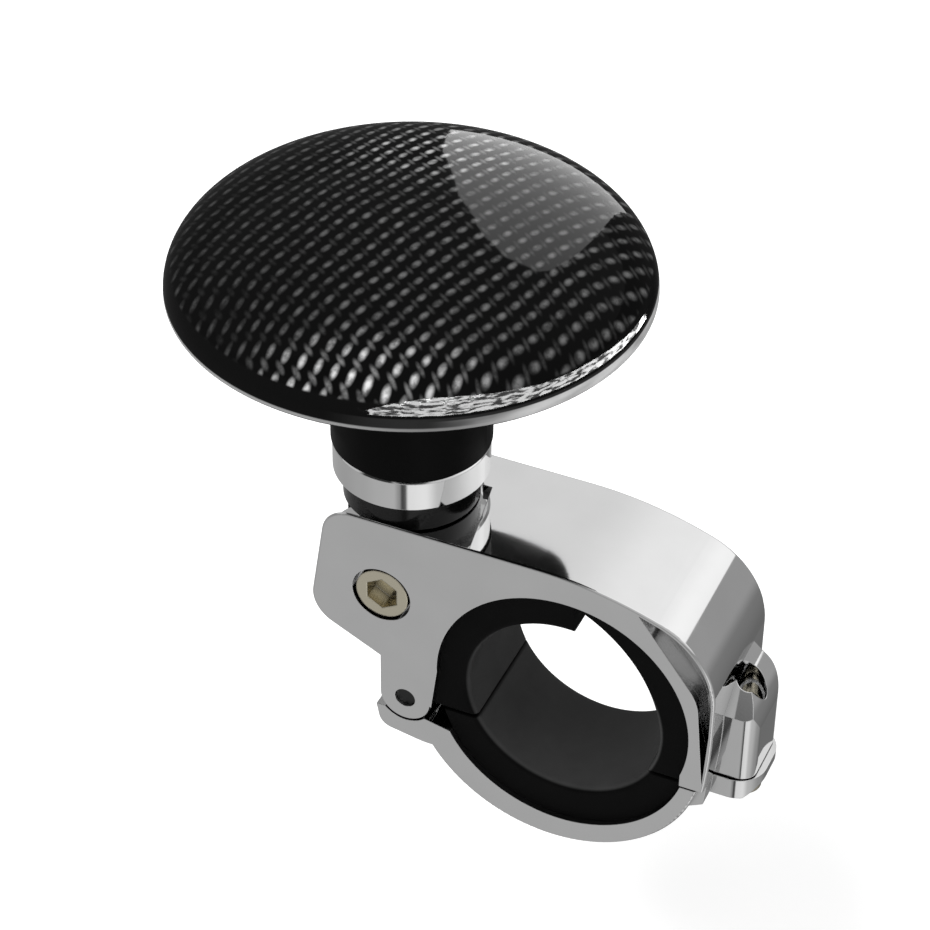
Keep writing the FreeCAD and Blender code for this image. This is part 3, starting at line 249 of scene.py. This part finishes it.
def rubber_material():
    """Matt moulded rubber with fine grain, paler in the bore."""
    material, graph, shader, place = new_material("rubber_grain")
    cloud = graph.noise(place, 240.0, 4.0)
    fine = graph.noise(place, 3800.0, 3.0)
    parts = graph.split(place)
    in_bore = graph.smooth(graph.reach(parts["X"], parts["Z"]), BORE_LIMIT, BORE_SURFACE)
    # The bore's faces get a paler colour than the other faces
    skin = graph.ramp(cloud, [(0.3, 0.0015), (0.75, 0.003)])
    bore_paler = graph.ramp(cloud, [(0.3, 0.036), (0.75, 0.046)])
    graph.feed(shader, {
        "Base Color": graph.mix(in_bore, skin, bore_paler),
        "Roughness": graph.smooth(cloud, 0.3, 0.7, 0.5, 0.66),
        "Specular IOR Level": 0.06,
        "Normal": graph.bump(fine, 0.35, 0.03 * MM, graph.soft_edges(0.3 * MM)),
    })
    return material


def plastic_material(name, shade, rough, specular):
    """Moulded black plastic with a very fine grain."""
    material, graph, shader, place = new_material(name)
    cloud = graph.noise(place, 160.0, 3.0)
    fine = graph.noise(place, 3000.0, 2.0)
    graph.feed(shader, {
        "Base Color": graph.ramp(cloud, [(0.3, shade * 0.85), (0.7, shade * 1.15)]),
        "Roughness": graph.uneven(cloud, rough, 0.15),
        "Specular IOR Level": specular,
        "Normal": graph.bump(fine, 0.2, 0.02 * MM, graph.soft_edges(0.2 * MM)),
    })
    return material


def thread_dashes(graph, place, shift, dash):
    """Short slanting dashes of one thread direction, one to each cell of the weave."""
    along_row = graph.math("ADD", graph.along(place, ALONG_ROW), shift)
    across_rows = graph.math("ADD", graph.along(place, ACROSS_ROWS), shift)
    in_row = graph.math("SUBTRACT", along_row, graph.math("ROUND", along_row))
    in_rows = graph.math("SUBTRACT", across_rows, graph.math("ROUND", across_rows))
    long_way = graph.weighted(in_row, in_rows, dash[0])
    short_way = graph.weighted(in_row, in_rows, dash[1])
    return graph.smooth(graph.reach(long_way, short_way), 1.45, 0.2)


def light_spot(graph, right, near, centre, narrow, gain):
    """Soft oval where the threads catch the light."""
    across = graph.product(graph.math("SUBTRACT", right, centre[0]), narrow[0])
    down = graph.product(graph.math("SUBTRACT", near, centre[1]), narrow[1])
    return graph.smooth(graph.reach(across, down), 10.0, 1.0, 0.0, gain)


def draped(graph, flat):
    """Places on the dome, pulled about as cloth is when it is laid over a form."""
    drape = graph.add("ShaderNodeTexNoise", {"Vector": flat, "Scale": 0.055, "Detail": 1.0})
    pull = graph.vector("SUBTRACT", {0: drape.outputs["Color"], 1: (0.5, 0.5, 0.5)})
    return graph.vector("ADD", {0: flat, 1: graph.vector("SCALE", {0: pull, "Scale": 3.0})})


def weave_colour(graph, flat, right, near, top_threads, low_threads):
    """Threads on black, with painted sheen: brighter towards the right and in two places where they
    catch the light.
    """
    # Painted sheen: the threads' brightness rises towards the right, with two painted spots of light
    # added
    thread_tone_and_sheen = graph.smooth(right, -30.0, 8.0, 0.03, 0.11)
    lit_front = light_spot(graph, right, near, (-10.0, 29.0), (0.36, 1.3), 0.5)
    lit_back = light_spot(graph, right, near, (4.0, -14.0), (0.6, 0.8), 0.34)
    thread_tone_and_sheen = graph.math("ADD", thread_tone_and_sheen, graph.math("ADD", lit_front, lit_back))
    thread_tone_and_sheen = graph.product(thread_tone_and_sheen, graph.smooth(graph.noise(flat, 0.9, 3.0), 0.3, 0.68, 0.35, 1.15))
    low_tone_and_sheen = graph.product(thread_tone_and_sheen, LOW_DASH_SHARE)
    weave = graph.weighted(top_threads, low_threads, (thread_tone_and_sheen, low_tone_and_sheen))
    return graph.mix(weave, grey(0.003), grey(1.0))


def rim_colour(graph, colour, flat, right, near):
    """The dome's edge over its colour: dark ring, and from the widest plane up a pale line with painted
    shade by side, a painted pale reflection band and a painted dark arc.
    """
    parts = graph.split(flat)
    climb = graph.math("SUBTRACT", parts["Z"], KNOB_PLANE / MM)
    level_part = graph.vector("MULTIPLY", {0: flat, 1: (1.0, 1.0, 0.0)})
    radius = graph.vector("LENGTH", {0: level_part}, "Value")
    colour = graph.mix(graph.smooth(radius, 30.7, 30.95), colour, grey(0.004))
    # Painted dark reflection: a dark arc at the front right
    front_right = graph.smooth(graph.weighted(right, near, (0.7, 0.72)), 14.0, 22.0)
    painted_dark_arc = graph.product(graph.smooth(climb, 1.8, 1.6), front_right)
    colour = graph.mix(painted_dark_arc, colour, grey(0.02))
    # Painted reflection: a cloudy pale band on the right
    turn = graph.math("ARCTAN2", parts["Y"], parts["X"])
    painted_band_place = graph.add(
        "ShaderNodeCombineXYZ", {0: graph.product(turn, 7.0), 1: graph.product(climb, 0.9)})
    shade = graph.smooth(graph.noise(painted_band_place, 0.5, 2.0), 0.3, 0.7, 0.3, 0.6)
    painted_band = graph.product(graph.smooth(climb, 1.4, 1.25), graph.smooth(right, 2.0, 18.0))
    colour = graph.mix(painted_band, colour, graph.mix(shade, grey(0.0), grey(1.0)))
    # Pale line at the widest plane, the clear rim's own colour, with painted shade making it fainter on
    # the right
    strength = graph.smooth(right, 10.0, -12.0, 0.3, 0.55)
    line = graph.product(graph.smooth(climb, 0.55, 0.3), strength)
    return graph.mix(line, colour, grey(0.45))


def carbon_material():
    """Woven carbon pattern under a clear coat, with a dark edge, a pale rim, painted sheen on the
    threads and painted reflections on the rim.
    """
    material, graph, shader, place = new_material("carbon_weave")
    moved = graph.vector("ADD", {0: place, 1: (-KNOB_X, 0.0, 0.0)})
    flat = graph.vector("SCALE", {0: moved, "Scale": 1.0 / MM})
    cloth = draped(graph, flat)
    top_threads = thread_dashes(graph, cloth, 0.0, TOP_DASH)
    low_threads = thread_dashes(graph, cloth, 0.5, LOW_DASH)
    right = graph.along(flat, VIEW_RIGHT)
    near = graph.along(flat, VIEW_NEAR)
    colour = weave_colour(graph, flat, right, near, top_threads, low_threads)
    graph.feed(shader, {
        "Base Color": rim_colour(graph, colour, flat, right, near),
        "Roughness": graph.smooth(top_threads, 0.0, 1.0, 0.55, 0.4),
        "Specular IOR Level": 0.0,
        "Coat Weight": 0.2,
        "Coat Roughness": 0.04,
        "Coat IOR": 1.22,
        "Normal": graph.bump(top_threads, 0.4, 0.08 * MM),
        "Coat Normal": graph.bump(top_threads, 0.1, 0.03 * MM),
    })
    return material


def finish_nodes():
    """Give every CAD node its material."""
    # The metals below keep differing shares of colour in their painted crevice shade; the lower jaw's
    # is darkest
    chrome = metal("chrome_jaw", shade=0.78, rough=0.05, grain=0.10)
    lower = metal("chrome_lower", shade=0.78, rough=0.05, grain=0.10, painted_shade_share=0.08)
    ring = metal("chrome_ring_metal", shade=0.85, rough=0.05, grain=0.04)
    nickel = metal("warm_nickel", shade=0.74, rough=0.16, grain=0.2, edge=0.35, painted_shade_share=0.28,
                   tint=(1.0, 0.93, 0.74))
    steel = metal("ground_steel", shade=0.55, rough=0.25, grain=0.2)
    dark = metal("oiled_steel_and_pin_shade", shade=0.05, rough=0.3, grain=0.2)
    bearing = metal("bearing_steel", shade=0.7, rough=0.12, grain=0.05)
    brass = metal("pressed_brass", shade=0.7, rough=0.25, grain=0.1, tint=(1.0, 0.75, 0.35))
    rubber = rubber_material()
    neck = plastic_material("neck_black", shade=0.002, rough=0.5, specular=0.05)
    gloss = plastic_material("post_black", shade=0.004, rough=0.16, specular=0.25)
    by_node = {
        "upper_jaw": chrome, "lower_jaw": lower, "chrome_ring": ring,
        "upper_liner": rubber, "lower_liner": rubber,
        # The hinge pin takes the near-black oiled steel so that the hole round its recessed end looks
        # dark: painted shade
        "hinge_pin": dark, "pivot_screw": nickel, "pivot_nut": nickel,
        "front_fold_washer": steel, "rear_fold_washer": steel, "stem": gloss,
        "knob_base": neck, "knob_dome": carbon_material(),
        "bearing_outer_race": bearing, "bearing_inner_race": bearing, "bearing_balls": bearing,
        "ball_cage": brass, "retaining_ring": dark, "spindle_screw": dark,
        "spindle_washer": steel, "clamp_screw": nickel, "clamp_washer": steel,
    }
    for name, piece in nodes.items():
        piece.data.materials.clear()
        piece.data.materials.append(by_node[name])


def panorama(graph):
    """Colour of the studio in every direction, as polished surfaces mirror it."""
    x, y, z = graph.split(graph.add("ShaderNodeTexCoord").outputs["Generated"])
    azimuth = graph.math("ARCTAN2", y, x)
    turn = graph.math("ADD", graph.math("DIVIDE", azimuth, 2 * math.pi), 0.5)
    # Upper half: a big soft card whose lower edge lies 22 degrees above the horizon, over a wall
    card = graph.ramp(turn, CARD_ROUND, "EASE")
    wall = graph.ramp(turn, WALL_ROUND, "EASE")
    upper = graph.mix(graph.smooth(z, 0.362, 0.378), wall, card)
    # Dark screen in front of the card
    screen = graph.product(
        graph.smooth(turn, 0.09, 0.12), graph.smooth(turn, 0.25, 0.22),
        graph.smooth(z, 0.45, 0.52), graph.smooth(z, 0.92, 0.86))
    upper = graph.mix(screen, upper, grey(0.03))
    # Lower half: what stands round the object, seen in its upright faces
    low = graph.ramp(turn, LOW_ROUND, "EASE")
    return graph.mix(graph.smooth(z, -0.30, -0.05), low, upper)


def world_light():
    """White to the camera, soft white for matt surfaces, and the panorama for reflections."""
    world = bpy.data.worlds.new("studio")
    bpy.context.scene.world = world
    graph = Graph(world)
    path = graph.add("ShaderNodeLightPath").outputs
    mirror = graph.add("ShaderNodeBackground", {"Color": panorama(graph), "Strength": 1.0})
    soft = graph.add("ShaderNodeBackground", {"Color": grey(1.0), "Strength": 0.75})
    white = graph.add("ShaderNodeBackground", {"Color": grey(1.0), "Strength": 1.05})
    unseen = graph.add("ShaderNodeMixShader", {0: path["Is Glossy Ray"], 1: soft, 2: mirror})
    shown = graph.add("ShaderNodeMixShader", {0: path["Is Camera Ray"], 1: unseen, 2: white})
    graph.add("ShaderNodeOutputWorld", {0: shown})


def floor(height):
    """Pale floor that keeps the shadow and lets reflections through to the studio."""
    bpy.ops.mesh.primitive_plane_add(size=FLOOR_SIZE, location=(0, 0, height))
    plane = bpy.context.object
    plane.name = "studio_floor"
    material = bpy.data.materials.new("floor_white")
    graph = Graph(material)
    matt = graph.add("ShaderNodeBsdfDiffuse", {"Color": grey(0.9)})
    glow = graph.add("ShaderNodeEmission", {"Color": grey(1.0), "Strength": 0.35})
    both = graph.add("ShaderNodeAddShader", {0: matt, 1: glow})
    clear = graph.add("ShaderNodeBsdfTransparent", {"Color": grey(1.0)})
    path = graph.add("ShaderNodeLightPath").outputs
    mixed = graph.add("ShaderNodeMixShader", {0: path["Is Glossy Ray"], 1: both, 2: clear})
    graph.add("ShaderNodeOutputMaterial", {0: mixed})
    plane.data.materials.append(material)


def direction(azimuth, elevation):
    """Unit vector for two angles in degrees."""
    turn = math.radians(azimuth)
    rise = math.radians(elevation)
    flat = math.cos(rise)
    return Vector((math.cos(turn) * flat, math.sin(turn) * flat, math.sin(rise)))


def mirror_card(name, receiver, first_edge, second_edge, strength, patchy=0.0):
    """Bright card that only one piece mirrors, set out between two edges round the knob."""
    centre = Vector((KNOB_X, 0.0, CARD_HEIGHT))
    points = [centre + direction(*pair) * CARD_DISTANCE for pair in first_edge + second_edge]
    count = len(first_edge)
    faces = [(i, i + 1, count + i + 1, count + i) for i in range(count - 1)]
    mesh = bpy.data.meshes.new(name)
    mesh.from_pydata(points, [], faces)
    card = bpy.data.objects.new(name, mesh)
    bpy.context.scene.collection.objects.link(card)
    material = bpy.data.materials.new(name + "_glow")
    graph = Graph(material)
    place = graph.add("ShaderNodeTexCoord").outputs["Object"]
    weakest = strength * (1.0 - patchy)
    cloud = graph.smooth(graph.noise(place, 45.0, 3.0), 0.42, 0.56, weakest, strength)
    glow = graph.add("ShaderNodeEmission", {"Color": grey(1.0), "Strength": cloud})
    clear = graph.add("ShaderNodeBsdfTransparent", {"Color": grey(1.0)})
    both = graph.add("ShaderNodeAddShader", {0: glow, 1: clear})
    graph.add("ShaderNodeOutputMaterial", {0: both})
    mesh.materials.append(material)
    card.visible_camera = False
    card.visible_diffuse = False
    card.visible_shadow = False
    card.visible_transmission = False
    group = bpy.data.collections.new(name + "_receivers")
    group.objects.link(receiver)
    card.light_linking.receiver_collection = group


def area_light(name, place, target, width, height, power):
    """Soft box aimed at a point, which nothing mirrors."""
    data = bpy.data.lights.new(name, "AREA")
    data.shape = "RECTANGLE"
    data.size = width
    data.size_y = height
    data.energy = power
    light = bpy.data.objects.new(name, data)
    bpy.context.scene.collection.objects.link(light)
    light.location = place
    light.rotation_mode = "QUATERNION"
    light.rotation_quaternion = (Vector(target) - Vector(place)).to_track_quat("-Z", "Y")
    light.visible_camera = False
    light.visible_glossy = False


def camera():
    """The photograph's viewpoint."""
    data = bpy.data.cameras.new("photo_camera")
    data.sensor_width = 36.0
    data.lens = CAMERA_LENS
    data.clip_start = 0.02
    data.clip_end = 20.0
    eye = bpy.data.objects.new("photo_camera", data)
    bpy.context.scene.collection.objects.link(eye)
    back = Vector(CAMERA_BACK).normalized()
    up = back.cross(Vector(CAMERA_RIGHT).normalized()).normalized()
    turn = Matrix((up.cross(back), up, back)).transposed().to_4x4()
    eye.matrix_world = Matrix.Translation(Vector(CAMERA_PLACE) * MM) @ turn
    bpy.context.scene.camera = eye


finish_nodes()
world_light()
floor(cad_low.z - OPEN_REACH)
area_light("key", place=(-0.35, -0.25, 0.75), target=(0, 0, 0.02), width=0.45, height=0.45, power=5.0)
mirror_card("window_card", nodes["knob_dome"], WINDOW_LEFT, WINDOW_RIGHT, strength=12.5)
mirror_card("glint_card", nodes["knob_dome"], GLINT_TOP, GLINT_FOOT, strength=300.0, patchy=0.93)
camera()
bpy.context.scene.view_settings.view_transform = "Standard"
